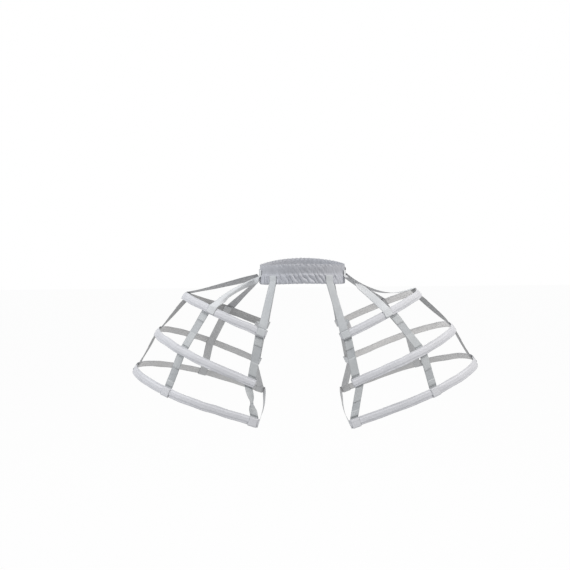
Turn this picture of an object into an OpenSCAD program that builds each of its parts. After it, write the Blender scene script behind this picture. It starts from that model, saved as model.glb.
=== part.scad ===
// Pannier crinoline cage: a gathered elastic waistband carries two side baskets of boned hoops.
// Frame: the origin is the middle of the waist opening, +X is the wearer's left, +Z is up, -Y is front.

/* [Waistband] */
// Width of the waist opening at the elastic, side to side
waist_w = 204; // [190:1:230]
// Depth of the waist opening at the elastic, front to back
waist_d = 178; // [160:1:196]
// Height of the gathered band
band_h = 46; // [40:1:56]
// How far the straps pull the band down at the hips
band_bow = 9; // [0:0.5:14]
// Number of gathers round the band
gathers = 48; // [36:1:54]
// Depth of one gather in the cloth over the elastic
gather_depth = 2.2; // [1.2:0.1:3]
// Height of the frill above and below the elastic
frill_h = 4; // [3:0.5:6]
// Thickness of the elastic
elastic_t = 1.6; // [1:0.1:2.4]
// Thickness of the band's cloth
cloth_t = 0.6; // [0.5:0.1:1]

/* [Hoop casings] */
// Width of the flat casing tube
casing_w = 20; // [18:0.5:26]
// Thickness of the casing over its boning
casing_t = 3.4; // [3:0.1:4.4]
// Thickness of the casing along its two sewn edges
edge_t = 1.4; // [1:0.1:2]
// Width of one sewn edge
edge_w = 3; // [2:0.5:4]
// Width of the boning strip
boning_w = 12; // [9:0.5:14]
// Thickness of the boning strip
boning_t = 1.2; // [0.8:0.1:1.4]
// Length of empty casing at each end of the boning
boning_stop = 3; // [2:0.5:8]

/* [Top hoop] */
// Front to back size
top_depth = 180; // [165:1:195]
// Length from the body side to the outer end
top_reach = 224; // [205:1:240]
// Length of the straight run at the body side
top_run = 24; // [14:1:60]
// Radius of the outer end
top_nose = 46; // [40:1:60]
// Upward tilt of the outer end, in degrees
top_tilt = 25.4; // [20:0.2:30]
// Distance of the body side from the middle
top_inner = 88; // [84:1:96]
// Drop of the body side below the middle of the waistband
top_drop = 146; // [132:1:160]
// Bow of the body-side tie round the hip
top_tie_bow = 34; // [0:1:40]

/* [Middle hoop] */
// Front to back size
mid_depth = 243; // [225:1:258]
// Length from the body side to the outer end
mid_reach = 281; // [265:1:295]
// Length of the straight run at the body side
mid_run = 95; // [40:1:110]
// Radius of the outer end
mid_nose = 88; // [75:1:105]
// Upward tilt of the outer end, in degrees
mid_tilt = 23.6; // [19:0.2:28]
// Distance of the body side from the middle
mid_inner = 113; // [104:1:122]
// Drop of the body side below the middle of the waistband
mid_drop = 249; // [236:1:262]
// Bow of the body-side tie round the hip
mid_tie_bow = 20; // [0:1:26]

/* [Bottom hoop] */
// Front to back size
bottom_depth = 292; // [276:1:310]
// Length from the body side to the outer end
bottom_reach = 340; // [325:1:355]
// Length of the straight run at the body side
bottom_run = 124; // [60:1:140]
// Radius of the outer end
bottom_nose = 106; // [92:1:125]
// Upward tilt of the outer end, in degrees
bottom_tilt = 19.6; // [16:0.2:23]
// Distance of the body side from the middle
bottom_inner = 106; // [98:1:114]
// Drop of the body side below the middle of the waistband
bottom_drop = 339; // [326:1:354]
// Bow of the body-side tie, towards the body where it is below zero
bottom_tie_bow = -6; // [-12:1:4]

/* [Ribbons] */
// Width of a strap, a tape or a tie
ribbon_w = 20; // [16:0.5:22]
// Thickness of the ribbon
ribbon_t = 0.8; // [0.5:0.1:1.2]
// Gap left between a ribbon and what it is sewn to
sewn_gap = 0.2; // [0.1:0.05:0.4]
// Distance of the end ribbons from the ends of each hoop
end_inset = 13; // [12:0.5:16]
// Distance of a cut ribbon end from the casing's edge
hem_inset = 1.5; // [0.5:0.5:4]
// How far a ribbon runs past the casing's edge before it bends away
edge_clear = 0.5; // [0.3:0.1:2]

/* [Straps] */
// Place of the left front strap round the waist, in degrees from the middle of the front
left_front_strap_at = 36; // [30:1:48]
// Place of the right front strap round the waist
right_front_strap_at = 42; // [30:1:48]
// Place of the strap between front and side
front_side_strap_at = 70; // [66:1:73]
// Place of the side strap
side_strap_at = 91; // [89:1:93]
// Place of the strap between side and back
back_side_strap_at = 112; // [109:1:116]
// Place of the back strap
back_strap_at = 138; // [132:1:144]
// Length of a strap's sewn end
strap_sewn = 13; // [8:1:14]
// Distance below the middle of the band where the front and back straps fold away
end_strap_fold = 15; // [10:1:17]
// Distance below the middle of the band where the straps next to the side ones fold away
between_strap_fold = 6; // [2:1:12]
// Distance below the middle of the band where the side straps fold away, above it where below zero
side_strap_fold = -2; // [-5:1:8]
// Radius of the fold where a strap leaves the band
strap_fold = 5; // [3:0.5:7]
// Sag of the left side strap
left_side_strap_sag = 27; // [0:1:36]
// Sag of the right side strap
right_side_strap_sag = 2; // [0:1:36]
// Twist of the side straps midway, front edge up, in degrees
side_strap_twist = 40; // [0:1:45]

/* [Tapes] */
// Place of the left front-side tape along each hoop, as a share of half its length
left_front_side_tape_at = 0.51; // [0.46:0.01:0.72]
// Place of the right front-side tape along each hoop
right_front_side_tape_at = 0.575; // [0.46:0.005:0.72]
// Place of the left back-side tape along each hoop
left_back_side_tape_at = 0.515; // [0.36:0.005:0.6]
// Place of the right back-side tape along each hoop
right_back_side_tape_at = 0.455; // [0.36:0.005:0.6]
// Place of the left front-side strap along the top hoop
left_front_side_strap_end = 0.52; // [0.45:0.01:0.7]
// Place of the right front-side strap along the top hoop
right_front_side_strap_end = 0.58; // [0.45:0.01:0.7]
// Place of the left back-side strap along the top hoop
left_back_side_strap_end = 0.53; // [0.34:0.01:0.6]
// Place of the right back-side strap along the top hoop
right_back_side_strap_end = 0.43; // [0.34:0.01:0.6]
// How far the side ribbons sit behind the top hoop's outermost point
top_side_back = 20; // [0:1:30]
// How far the side tapes sit behind the outermost points of the lower hoops
side_back = 8; // [0:1:20]

/* [Hidden] */
$fn = 96;

// One hoop is [half depth, reach, length of its rounded part, nose radius, tilt, inner distance, drop].
TOP = [top_depth / 2, top_reach, top_reach - top_run, top_nose, top_tilt, top_inner, top_drop];
MID = [mid_depth / 2, mid_reach, mid_reach - mid_run, mid_nose, mid_tilt, mid_inner, mid_drop];
BOTTOM = [bottom_depth / 2, bottom_reach, bottom_reach - bottom_run, bottom_nose, bottom_tilt, bottom_inner,
  bottom_drop];

// Each hoop is a straight run, a wide arc and a tight nose arc, mirrored front to back.
function run(h) = h[1] - h[2];
function wide_r(h) = (h[0] * h[0] + (h[2] - h[3]) * (h[2] - h[3]) - h[3] * h[3]) / (2 * (h[0] - h[3]));
function wide_angle(h) = asin((h[2] - h[3]) / (wide_r(h) - h[3]));
function nose_u(h) = run(h) + h[2] - h[3];
function wide_length(h) = wide_r(h) * wide_angle(h) * PI / 180;
function half_length(h) = run(h) + wide_length(h) + h[3] * (90 - wide_angle(h)) * PI / 180;

// Point and heading [u, v, angle] on the front half, at a distance s from the front end.
function front_uv(h, s) =
  s < run(h) ? [s, -h[0], 0]
  : s < run(h) + wide_length(h)
    ? let (a = (s - run(h)) / wide_r(h) * 180 / PI)
      [run(h) + wide_r(h) * sin(a), wide_r(h) - h[0] - wide_r(h) * cos(a), a]
    : let (a = wide_angle(h) + (s - run(h) - wide_length(h)) / h[3] * 180 / PI)
      [nose_u(h) + h[3] * sin(a), -h[3] * cos(a), a];
function hoop_uv(h, s) =
  s <= half_length(h) ? front_uv(h, s)
  : let (q = front_uv(h, 2 * half_length(h) - s)) [q[0], -q[1], 180 - q[2]];
function bend_r(h, s) =
  let (d = min(s, 2 * half_length(h) - s))
  d < run(h) ? 1e6 : d < run(h) + wide_length(h) ? wide_r(h) : h[3];

// Directions and points on a placed hoop of the +X basket.
function hoop_up(h) = [-sin(h[4]), 0, cos(h[4])];
function hoop_along(h, s) =
  let (a = hoop_uv(h, s)[2]) [cos(a) * cos(h[4]), sin(a), cos(a) * sin(h[4])];
function hoop_out(h, s) =
  let (a = hoop_uv(h, s)[2]) [sin(a) * cos(h[4]), -cos(a), sin(a) * sin(h[4])];
function hoop_point(h, s, out, up) =
  let (q = hoop_uv(h, s))
  [h[5] + q[0] * cos(h[4]), q[1], q[0] * sin(h[4]) - h[6]] + out * hoop_out(h, s) + up * hoop_up(h);

// Distance of a ribbon's middle from the casing's middle, with room for the bend on the inside.
function lay(h, s, side) =
  casing_t / 2 + sewn_gap + ribbon_t / 2 + (side > 0 ? 0 : ribbon_w * ribbon_w / 8 / bend_r(h, s));
edge_up = (casing_w - edge_t) / 2;

// The elastic's oval, its outward direction and the band's rise at an angle from the front.
function band_out(a) =
  let (n = [sin(a) / waist_w, -cos(a) / waist_d, 0]) n / norm(n);
function band_along(a) = [-band_out(a)[1], band_out(a)[0], 0];
function band_point(a, out, z) =
  [waist_w / 2 * sin(a), -waist_d / 2 * cos(a), z + band_bow / 2 * cos(2 * a)] + out * band_out(a);
pocket = elastic_t / 2 + sewn_gap;
band_face = pocket + cloth_t + gather_depth;

// A ribbon is swept through frames of [middle, across, outward].
function unit(v) = v / norm(v);
function mix(p, q, k) = p + (q - p) * k;
function frame_mix(f, g, k, sag = 0, twist = 0) =
  let (across = unit(mix(f[1], g[1], k)),
    way = g[0] - f[0] - [0, 0, 4 * sag * (1 - 2 * k)],
    side = unit(cross(way, across)),
    out = side * (f[2] + g[2]) < 0 ? -side : side,
    a = twist * sin(180 * k))
  [mix(f[0], g[0], k) - [0, 0, 4 * sag * k * (1 - k)],
   cos(a) * across - sin(a) * out, cos(a) * out + sin(a) * across];
function ribbon_section(f) =
  let (a = f[1] * ribbon_w / 2, o = f[2] * ribbon_t / 2)
  [f[0] + a + o, f[0] - a + o, f[0] - a - o, f[0] + a - o];

module sweep(sections, closed = false) {
  n = len(sections);
  m = len(sections[0]);
  last = closed ? n - 1 : n - 2;
  sides = [for (i = [0:last], j = [0:m - 1])
    let (p = i * m + j, q = i * m + (j + 1) % m, p2 = (i + 1) % n * m + j, q2 = (i + 1) % n * m + (j + 1) % m)
    each j < m / 2 ? [[p, p2, q2], [p, q2, q]] : [[p, p2, q], [q, p2, q2]]];
  ends = closed ? [] : [[for (j = [0:m - 1]) j], [for (j = [m - 1:-1:0]) (n - 1) * m + j]];
  polyhedron([for (s = sections) each s], concat(sides, ends), convexity = 6);
}

// Cloth layer of the band: out of step by the gathers, drawn in to a frill above and below.
function gather(a, z) = sin(gathers * a + 200 * z / band_h * cos(a));
function cloth_out(a, z) = pocket + cloth_t + gather_depth * (1 + gather(a, z)) / 2;
function cloth_in(a, z) = pocket + cloth_t + gather_depth * (1 - gather(a, z)) / 2;
function frill_mid(a, z) = gather_depth * gather(a, z) * 0.7;
function frill_out(a, z, side) = frill_mid(a, z) + side * (cloth_t + sewn_gap / 2);
function band_section(a) =
  let (e = band_h / 2, b = band_h / 2 - frill_h, slot = sewn_gap / 2)
  [band_point(a, frill_out(a, -e, 1), -e),
   band_point(a, cloth_out(a, -b), -b),
   band_point(a, cloth_out(a, 0), 0),
   band_point(a, cloth_out(a, b), b),
   band_point(a, frill_out(a, e, 1), e),
   band_point(a, frill_out(a, e, -1), e),
   band_point(a, -cloth_in(a, b), b),
   band_point(a, -cloth_in(a, -b), -b),
   band_point(a, frill_out(a, -e, -1), -e),
   band_point(a, frill_mid(a, -e) - slot, -e),
   band_point(a, -pocket, -b - sewn_gap),
   band_point(a, -pocket, b + sewn_gap),
   band_point(a, pocket, b + sewn_gap),
   band_point(a, pocket, -b - sewn_gap),
   band_point(a, frill_mid(a, -e) + slot, -e)];

module band_ring(half_t, half_h) {
  sweep([for (i = [72:-1:1]) let (a = i * 5)
    [band_point(a, half_t, -half_h), band_point(a, half_t, half_h),
     band_point(a, -half_t, half_h), band_point(a, -half_t, -half_h)]], true);
}

module waistband_casing() {
  columns = gathers * 5;
  color("white")
    sweep([for (i = [columns:-1:1]) band_section(i * 360 / columns)], true);
}

module waist_elastic() {
  color("whitesmoke")
    band_ring(elastic_t / 2, band_h / 2 - frill_h);
}

// Distances along a hoop at which its outline turns, from one inset end to the other.
function stops(h, from) =
  let (half = half_length(h), flat = run(h), bend = flat + wide_length(h),
    front = concat([from],
      [for (i = [0:11]) flat + (bend - flat) * i / 12],
      [for (i = [0:9]) bend + (half - bend) * i / 10]))
  concat(front, [half], [for (i = [len(front) - 1:-1:0]) 2 * half - front[i]]);

// Outline of a strip that follows a hoop, with a set thickness.
module hoop_strip(h, from, thick) {
  line = [for (s = stops(h, from)) hoop_uv(h, s)];
  outer = [for (q = line) [q[0] + sin(q[2]) * thick / 2, q[1] - cos(q[2]) * thick / 2]];
  inner = [for (i = [len(line) - 1:-1:0]) let (q = line[i])
    [q[0] - sin(q[2]) * thick / 2, q[1] + cos(q[2]) * thick / 2]];
  polygon(concat(outer, inner));
}

module place(h) {
  translate([h[5], 0, -h[6]])
    rotate([0, -h[4], 0])
      children();
}

// Two ribbons sewn edge to edge, with a channel between them that is open at both ends.
module casing(h) {
  color("white")
    place(h)
      difference() {
        union() {
          linear_extrude(casing_w, center = true)
            hoop_strip(h, 0, edge_t);
          linear_extrude(casing_w - 2 * edge_w, center = true)
            hoop_strip(h, 0, casing_t);
        }
        linear_extrude(boning_w + 2 * sewn_gap, center = true)
          hoop_strip(h, -boning_stop, boning_t + 2 * sewn_gap);
      }
}

module boning(h) {
  color("gainsboro")
    place(h)
      linear_extrude(boning_w, center = true)
        hoop_strip(h, boning_stop, boning_t);
}

// Ribbon across the body side: flat on the two casing ends, bowed between them.
module tie(h, bow) {
  span = h[0] - casing_t / 2;
  steps = 24;
  curve = [for (i = [0:steps]) let (k = 2 * i / steps - 1) [bow * (1 - k * k), k * span]];
  face = concat([[0, -h[0] - casing_t / 2]], curve, [[0, h[0] + casing_t / 2]]);
  back = [for (i = [len(face) - 1:-1:0]) face[i] - [ribbon_t, 0]];
  color("white")
    place(h)
      linear_extrude(ribbon_w, center = true)
        polygon(concat(face, back));
}

// Frame on a hoop's outside face (side 1) or inside face (side -1).
function seat(h, s, side, up) =
  [hoop_point(h, s, side * lay(h, s, side), up), hoop_along(h, s), side * hoop_out(h, s)];
// Frame rolled round the casing's upper edge (dir 1) or lower edge (dir -1).
function rolled(h, s, dir, out, up) =
  let (n = out * hoop_out(h, s) + up * hoop_up(h))
  [hoop_point(h, s, 0, dir * edge_up) + lay(h, s, out) * n, hoop_along(h, s), n];
function between(f, g, steps, sag = 0, twist = 0) =
  [for (i = [1:steps - 1]) frame_mix(f, g, i / steps, sag, twist)];

// A strap: sewn on the band, folded away from it, over the hoop's upper edge and down its face.
module strap(at, fold_z, s, sag = 0, twist = 0) {
  h = TOP;
  rise = band_face + sewn_gap + ribbon_t / 2;
  foot = band_point(at, rise, -fold_z);
  goal = hoop_point(h, s, 0, edge_up);
  dip = [0, 0, 4 * sag];
  way = goal - foot - dip;
  turn = min(84, atan2(way * band_out(at), -way[2]));
  up = [0, 0, 1];
  tab = [[band_point(at, rise, strap_sewn - fold_z), band_along(at), band_out(at)]];
  fold = [for (k = [0:4]) let (a = turn * k / 4)
    [foot + strap_fold * ((1 - cos(a)) * band_out(at) - sin(a) * up),
     band_along(at), cos(a) * band_out(at) + sin(a) * up]];
  ramp = goal - fold[4][0] + dip;
  lean = max(0, min(90, atan2(-(ramp * hoop_up(h)), ramp * hoop_out(h, s))));
  roll = [for (k = [0:3]) let (a = lean + (90 - lean) * k / 3) rolled(h, s, 1, sin(a), cos(a))];
  hem = [seat(h, s, 1, hem_inset - casing_w / 2)];
  frames = concat(tab, fold, between(fold[4], roll[0], 10, sag, twist), roll, hem);
  color("white")
    sweep([for (f = frames) ribbon_section(f)]);
}

// A tape: inside all three hoops, turned under the bottom one and up its face.
module tape(s_top, s_mid, s_bottom) {
  past = casing_w / 2 + edge_clear;
  a1 = seat(TOP, s_top, -1, casing_w / 2 - hem_inset);
  a2 = seat(TOP, s_top, -1, -past);
  b1 = seat(MID, s_mid, -1, past);
  b2 = seat(MID, s_mid, -1, -past);
  c1 = seat(BOTTOM, s_bottom, -1, past);
  turn = [for (k = [0:4]) rolled(BOTTOM, s_bottom, -1, -cos(45 * k), -sin(45 * k))];
  hem = [seat(BOTTOM, s_bottom, 1, casing_w / 2 - hem_inset)];
  frames = concat([a1, a2], between(a2, b1, 3), [b1, b2], between(b2, c1, 3), [c1], turn, hem);
  color("white")
    sweep([for (i = [len(frames) - 1:-1:0]) ribbon_section(frames[i])]);
}

// The left basket is drawn on +X and the right one is its mirror image.
module basket(side) {
  if (side > 0) children();
  else mirror([1, 0, 0]) children();
}

function from_front(h, share) = half_length(h) * share;
function from_back(h, share) = half_length(h) * (2 - share);
function behind(h) = half_length(h) + (h == TOP ? top_side_back : side_back);
function back_end(h) = 2 * half_length(h) - end_inset;

module front_strap(at) strap(at, end_strap_fold, end_inset);
module front_side_strap(share) strap(front_side_strap_at, between_strap_fold, from_front(TOP, share));
module side_strap(sag) strap(side_strap_at, side_strap_fold, behind(TOP), sag, side_strap_twist);
module back_side_strap(share) strap(back_side_strap_at, between_strap_fold, from_back(TOP, share));
module back_strap() strap(back_strap_at, end_strap_fold, back_end(TOP));
module front_tape() tape(end_inset, end_inset, end_inset);
module front_side_tape(share) tape(from_front(TOP, share), from_front(MID, share), from_front(BOTTOM, share));
module side_tape() tape(behind(TOP), behind(MID), behind(BOTTOM));
module back_side_tape(share) tape(from_back(TOP, share), from_back(MID, share), from_back(BOTTOM, share));
module back_tape() tape(back_end(TOP), back_end(MID), back_end(BOTTOM));

waistband_casing();
waist_elastic();
basket(1) casing(TOP);  // left_top_casing
basket(1) boning(TOP);  // left_top_boning
basket(1) tie(TOP, top_tie_bow);  // left_top_tie
basket(1) casing(MID);  // left_mid_casing
basket(1) boning(MID);  // left_mid_boning
basket(1) tie(MID, mid_tie_bow);  // left_mid_tie
basket(1) casing(BOTTOM);  // left_bottom_casing
basket(1) boning(BOTTOM);  // left_bottom_boning
basket(1) tie(BOTTOM, bottom_tie_bow);  // left_bottom_tie
basket(-1) casing(TOP);  // right_top_casing
basket(-1) boning(TOP);  // right_top_boning
basket(-1) tie(TOP, top_tie_bow);  // right_top_tie
basket(-1) casing(MID);  // right_mid_casing
basket(-1) boning(MID);  // right_mid_boning
basket(-1) tie(MID, mid_tie_bow);  // right_mid_tie
basket(-1) casing(BOTTOM);  // right_bottom_casing
basket(-1) boning(BOTTOM);  // right_bottom_boning
basket(-1) tie(BOTTOM, bottom_tie_bow);  // right_bottom_tie
basket(1) front_strap(left_front_strap_at);  // left_front_strap
basket(1) front_side_strap(left_front_side_strap_end);  // left_front_side_strap
basket(1) side_strap(left_side_strap_sag);  // left_side_strap
basket(1) back_side_strap(left_back_side_strap_end);  // left_back_side_strap
basket(1) back_strap();  // left_back_strap
basket(-1) front_strap(right_front_strap_at);  // right_front_strap
basket(-1) front_side_strap(right_front_side_strap_end);  // right_front_side_strap
basket(-1) side_strap(right_side_strap_sag);  // right_side_strap
basket(-1) back_side_strap(right_back_side_strap_end);  // right_back_side_strap
basket(-1) back_strap();  // right_back_strap
basket(1) front_tape();  // left_front_tape
basket(1) front_side_tape(left_front_side_tape_at);  // left_front_side_tape
basket(1) side_tape();  // left_side_tape
basket(1) back_side_tape(left_back_side_tape_at);  // left_back_side_tape
basket(1) back_tape();  // left_back_tape
basket(-1) front_tape();  // right_front_tape
basket(-1) front_side_tape(right_front_side_tape_at);  // right_front_side_tape
basket(-1) side_tape();  // right_side_tape
basket(-1) back_side_tape(right_back_side_tape_at);  // right_back_side_tape
basket(-1) back_tape();  // right_back_tape
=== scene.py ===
"""Pannier crinoline cage: cloth pieces, materials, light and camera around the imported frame.

Lengths are in millimetres, as in the part's source, until a mesh is made. The left basket is on +X.
"""

import math

import bpy
import numpy as np
from mathutils import Matrix, Vector


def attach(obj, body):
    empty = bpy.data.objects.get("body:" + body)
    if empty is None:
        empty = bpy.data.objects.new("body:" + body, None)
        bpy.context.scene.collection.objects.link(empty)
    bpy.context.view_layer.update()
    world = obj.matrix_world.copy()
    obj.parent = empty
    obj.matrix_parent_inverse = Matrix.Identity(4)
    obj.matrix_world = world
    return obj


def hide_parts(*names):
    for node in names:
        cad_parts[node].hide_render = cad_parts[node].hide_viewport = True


MM = 0.001
TURN = 2 * math.pi
SIDES = ("left", "right")
LEVELS = ("top", "mid", "bottom")

# Waistband
WAIST_W, WAIST_D = 204, 178
BAND_H, BAND_BOW, FRILL_H = 46, 9, 4
ELASTIC_T, CLOTH_T, SEWN_GAP = 1.6, 0.6, 0.2
GATHER_DEPTH = 2.2
POCKET = ELASTIC_T / 2 + SEWN_GAP
BAND_FACE = POCKET + CLOTH_T + GATHER_DEPTH
BAND_COLUMNS, BAND_ROWS = 960, 26
# Height and half width of the seams that draw the band in, along its middle and under its frill
MIDDLE_SEAM, FRILL_SEAM = (1, 2), (BAND_H / 2 - FRILL_H, 1.8)
# Folds of the gathered cloth: number round the waist, turns of slant per millimetre of height, and depth
FOLDS, FOLD_SLANT, FOLD_DEPTH = 56, 0.066, 5.2
# Share of the slant that is left outside the slanted part, and of the depth above the middle seam
UPRIGHT_SLANT, UPPER_DEPTH = 0.15, 0.18
# Distances below the band's middle over which the folds deepen
DEEPEN_OVER = (-4, 3)
# Angles from the front, in radians, over which the slanted and the calm part begin and end, and the share
# of depth that folds lose in the calm one
SLANTED = ((-0.95, -0.6), (1.2, 2.2))
CALM, CALM_LOSS = ((0.7, 0.95), (1.5, 2.0)), 0.65
# The part where the folds are finer and upright: its width in plain folds, its end, how much closer and
# deeper its folds are, and the angle over which they blend in
FINE_WIDTH, FINE_TO, FINE_CLOSER, FINE_DEEPER, FINE_BLEND = 6, -0.8, 0.5, 0.2, 0.1
FINE_FROM = FINE_TO - FINE_WIDTH * TURN / FOLDS
# Uneven spacing of the folds: a slow drift and a quick jitter, in folds, and their rates round the waist
DRIFT, DRIFT_RATE, JITTER, JITTER_RATE = 0.3, 7, 0.2, 23
# Uneven depth of the folds: its mean and range, and the step from fold to fold and length along one
DEPTH_MEAN, DEPTH_VARIES, DEPTH_STEP, DEPTH_LONG = 0.78, 0.34, 2.3, 12
# Sharpness of the ridges, share of the depth on the inner face, and small creases
RIDGE_POWER, INNER_DEPTH = 0.6, 0.9
CRUMPLE, CRUMPLE_RATE, CRUMPLE_LONG = 0.3, 150, 9
# The frill: half its thickness, the swing of its waves, and how far below its seam it begins
FRILL_HALF, FRILL_SWING, FRILL_EARLY = 0.35, 0.75 * GATHER_DEPTH, 1
# The frill's uneven edge: its waves and their rate, its scallops, and how much lower it lies
FRILL_WAVE, FRILL_RATE, SCALLOP, SCALLOP_DROP = 0.5, 60, 1.1, 0.6
# How far the lower edge is drawn in, as a share of the frill, and over what height
HEM_DRAWN, HEM_H = 0.6, 3
# Half widths, in ribbon widths, of the folds pressed along a strap and bunched under its sewn end, and the
# share of depth that the pressed ones lose
PRESSED_W, BUNCHED_W, PRESSED_LOSS = 0.6, 0.56, 0.6
# How far past and within the sewn length the bunched folds come in, and how far under the strap they stay
BUNCHED_PAST, BUNCHED_WITHIN, BUNCHED_UNDER = 3, 1, 0.1

# Hoop casings
CASING_W, EDGE_T, EDGE_W, BULGE = 20, 1.4, 3, 1.9
CHANNEL, CHANNEL_COLUMNS = CASING_W / 2 - EDGE_W, 17
# How much thinner the sewn edges are pressed, how far inside the boning's edge the swelling begins to
# fall, and its share on the inner face
EDGE_PRESSED, SWELL_WITHIN, INNER_BULGE = 0.15, 2.5, 0.75
# Distances past the channel of its stitches and of a row of points, and the half width of its seams
STITCHES_PAST, EDGE_ROW_PAST, SEAM_W = 0.6, 1.6, 2.2
BONING_W, BONING_T, BONING_STOP, BONING_COLUMNS = 12, 1.2, 3, 20
FRONT_LEAN, BACK_LEAN = math.radians(13), math.radians(25)
# Shares of half a hoop's length over which the front lean gives way to the back one
LEAN_OVER = (0.75, 1.3)
HOOP_STEP = 3
# Depth, reach, run, nose radius, tilt in degrees, inner distance, drop and bow of the tie
HOOP_SIZES = {
    "top": (180, 224, 24, 46, 25.4, 88, 146, 34),
    "mid": (243, 281, 95, 88, 23.6, 113, 249, 20),
    "bottom": (292, 340, 124, 106, 19.6, 106, 339, -6),
}
# How hand-bent hoops depart from those: reach, tilt in degrees, lift, how much lower the back hangs, and
# how many degrees more upright its casing is
BENT = {
    ("left", "top"): (-4, 0, 0, 0, 0),
    ("left", "bottom"): (0, 0.8, 0, 0, 0),
    ("right", "top"): (0, -2.1, 7.5, 10.5, 15),
    ("right", "mid"): (-9, 0, 0, 3, 0),
    ("right", "bottom"): (-11, -1.4, 4, 3, 0),
}
# Distance either side of the middle over which the back comes to hang lower
DROOP_OVER = 40
# Height and length of the casing's puckers at the seams, waves of the edges, and creases
PUCKER, PUCKER_LONG, PUCKER_SHIFT = 0.13, 1.9, 2
EDGE_WAVE, EDGE_WAVE_LONG = 0.45, 12
EDGE_RISE, EDGE_RISE_LONG = 0.3, 13
CREASE, NOSE_CREASE, CREASE_LONG, CREASE_WIDE, CREASE_LEAST = 0.08, 0.2, 4, 5, -0.1
# Curvatures, per millimetre, at which a bend begins to crease its casing and does so fully
CREASING = (0.004, 0.02)
# How far the boning strays in its casing and the casing from the hoop's line
BONING_STRAY, BONING_STRAY_LONG = 1.1, 45
CASING_STRAY, CASING_STRAY_LONG = 0.35, 16

# Ribbons
RIBBON_W, RIBBON_T = 20, 0.55
RIBBON_COLUMNS, RIBBON_STEP = 11, 3
COLUMNS, MIDDLE = np.linspace(-RIBBON_W / 2, RIBBON_W / 2, RIBBON_COLUMNS), RIBBON_COLUMNS // 2
# Distance of a ribbon's middle from the middle of a casing, and height of the edges that it rolls round
LAY_CLEAR = 0.45
LAY = BULGE + LAY_CLEAR
EDGE_UP = (CASING_W - EDGE_T) / 2
# Distances of the outer ribbons from the hoops' ends, and of hems and free tape from the casings' edges
END_INSET, HEM_INSET, EDGE_CLEAR = 13, 1.5, 0.5
# Distances from a casing's rolled edge at which a hem begins and the inside of a tape ends
FLAT_END, TURN_END = 2, 1
# How far behind the noses the side ribbons are
SIDE_BACK = {"top": 20, "mid": 8, "bottom": 8}
# A tie's unevenness, the share of it that is free, its waves along and across, and how late it leans
TIE_SAG, TIE_HELD, TIE_WAVES, TIE_WAVE_WIDE, TIE_LEAN_POWER = 0.9, 0.8, 3, 14, 3
# Sewn length of a strap, and the radius and largest angle of its fold
STRAP_SEWN, STRAP_FOLD, FOLD_MOST = 13, 3.5, math.radians(84)
# Rows of points in the sewn and turned parts of a strap and of a tape
TAB_ROWS, FOLD_ROWS, ROLL_ROWS, HEM_ROWS = 6, 7, 6, 7
HEAD_ROWS, WAIST_ROWS, FOOT_ROWS, TURN_ROWS = 8, 9, 8, 9
# Thickness of a second ply of tape, and its middle above the first one's
PLY_T, PLY_LIFT = 0.44, 0.6
# Lengths of doubled tape below the top hoop, above and below the middle one, and above the bottom one,
# and the range of shares by which they vary
DOUBLED, DOUBLED_VARIES = ((22, 38), (34, 16)), (0.85, 1.15)
# Wave and curl of slack straps and tapes, and their sway from edge to edge
STRAP_WAVE, STRAP_CURL = 0.7, 0.9
TAPE_WAVE, TAPE_CURL = 0.8, 1.2
SWAY = 0.9
# Lengths of those along a ribbon, the skew of the waves, and the level about which the edges curl
WAVE_LONG, CURL_LONG, SWAY_LONG, WAVE_SKEW, CURL_LEVEL = 24, 40, 33, 0.5, 0.35

# Straps: place round the waist in degrees from the front, and depth of the fold below the band's middle
STRAPS = {
    "front": (42, 15),
    "front_side": (70, 6),
    "side": (91, -2),
    "back_side": (112, 6),
    "back": (138, 15),
}
# How much further back, in degrees, and how much lower single straps are sewn
STRAP_BACKWARD = {("left", "front"): -6, ("left", "front_side"): 5, ("right", "front_side"): 6}
STRAP_LOWER = {("right", "front_side"): -5, ("right", "side"): 4, ("left", "front_side"): -3}
# Places of the tapes next to the sides on the three hoops, and of the straps there on the top one,
# as shares of half a hoop's length
TAPE_SHARE = {
    "left": {"front_side": (0.54, 0.528, 0.515), "back_side": (0.53, 0.54, 0.535)},
    "right": {"front_side": (0.605, 0.575, 0.575), "back_side": (0.455, 0.433, 0.435)},
}
STRAP_SHARE = {
    "left": {"front_side": 0.495, "back_side": 0.53},
    "right": {"front_side": 0.555, "back_side": 0.43},
}
# How the slack straps hang; each turn comes and goes over two ranges of shares of the free length
STRAP_SAG = {
    ("left", "side"): 27,
    ("right", "side"): 2,
    ("left", "front_side"): -4,
    ("right", "front_side"): -5,
}
SIDE_STRAP_TWIST = {"left": math.radians(12), "right": math.radians(42)}
SIDE_TWIST_OVER, SIDE_TWIST_EARLY = ((0, 0.03), (0.2, 1)), 4
TURNED_STRAP, STRAP_TURN, STRAP_RETURN = ("left", "front_side"), math.radians(36), math.radians(28)
TURN_OVER, RETURN_OVER = ((0, 0.1), (0.14, 0.38)), ((0.2, 0.45), (0.75, 1))
# The crease runs slantwise from one distance across the strap to another
CREASED_STRAP, CREASE_FROM, CREASE_TO = ("right", "front_side"), 6, -3
CREASE_ANGLE, CREASE_ROUND, CREASE_OVER = math.radians(108), 4, ((0, 0.15), (0.7, 0.97))
# Tapes that are turned on their way: by how much, and where or how fully along the free length
TWISTED_TAPE, TAPE_TWIST, TWIST_AT, TWIST_OVER = ("right", "front"), math.radians(68), 0.55, 0.24
TURNED_TAPE, TAPE_TURN, TURN_FULLNESS = ("left", "side"), math.radians(22), 0.6

# Stitches
STITCH_LONG, STITCH_WIDE, STITCH_HIGH, STITCH_PITCH = 2.4, 0.5, 0.2, 3.4
STITCH_SUNK, STITCH_TAPER, STITCH_LIFT = 0.15, 0.4, 0.05

# Irregular waves: number and rates of their sines, and the sum that counts as 1
RIPPLE_SINES, RIPPLE_RATES, RIPPLE_PEAK = 4, (0.6, 1.9), 2.6
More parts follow.
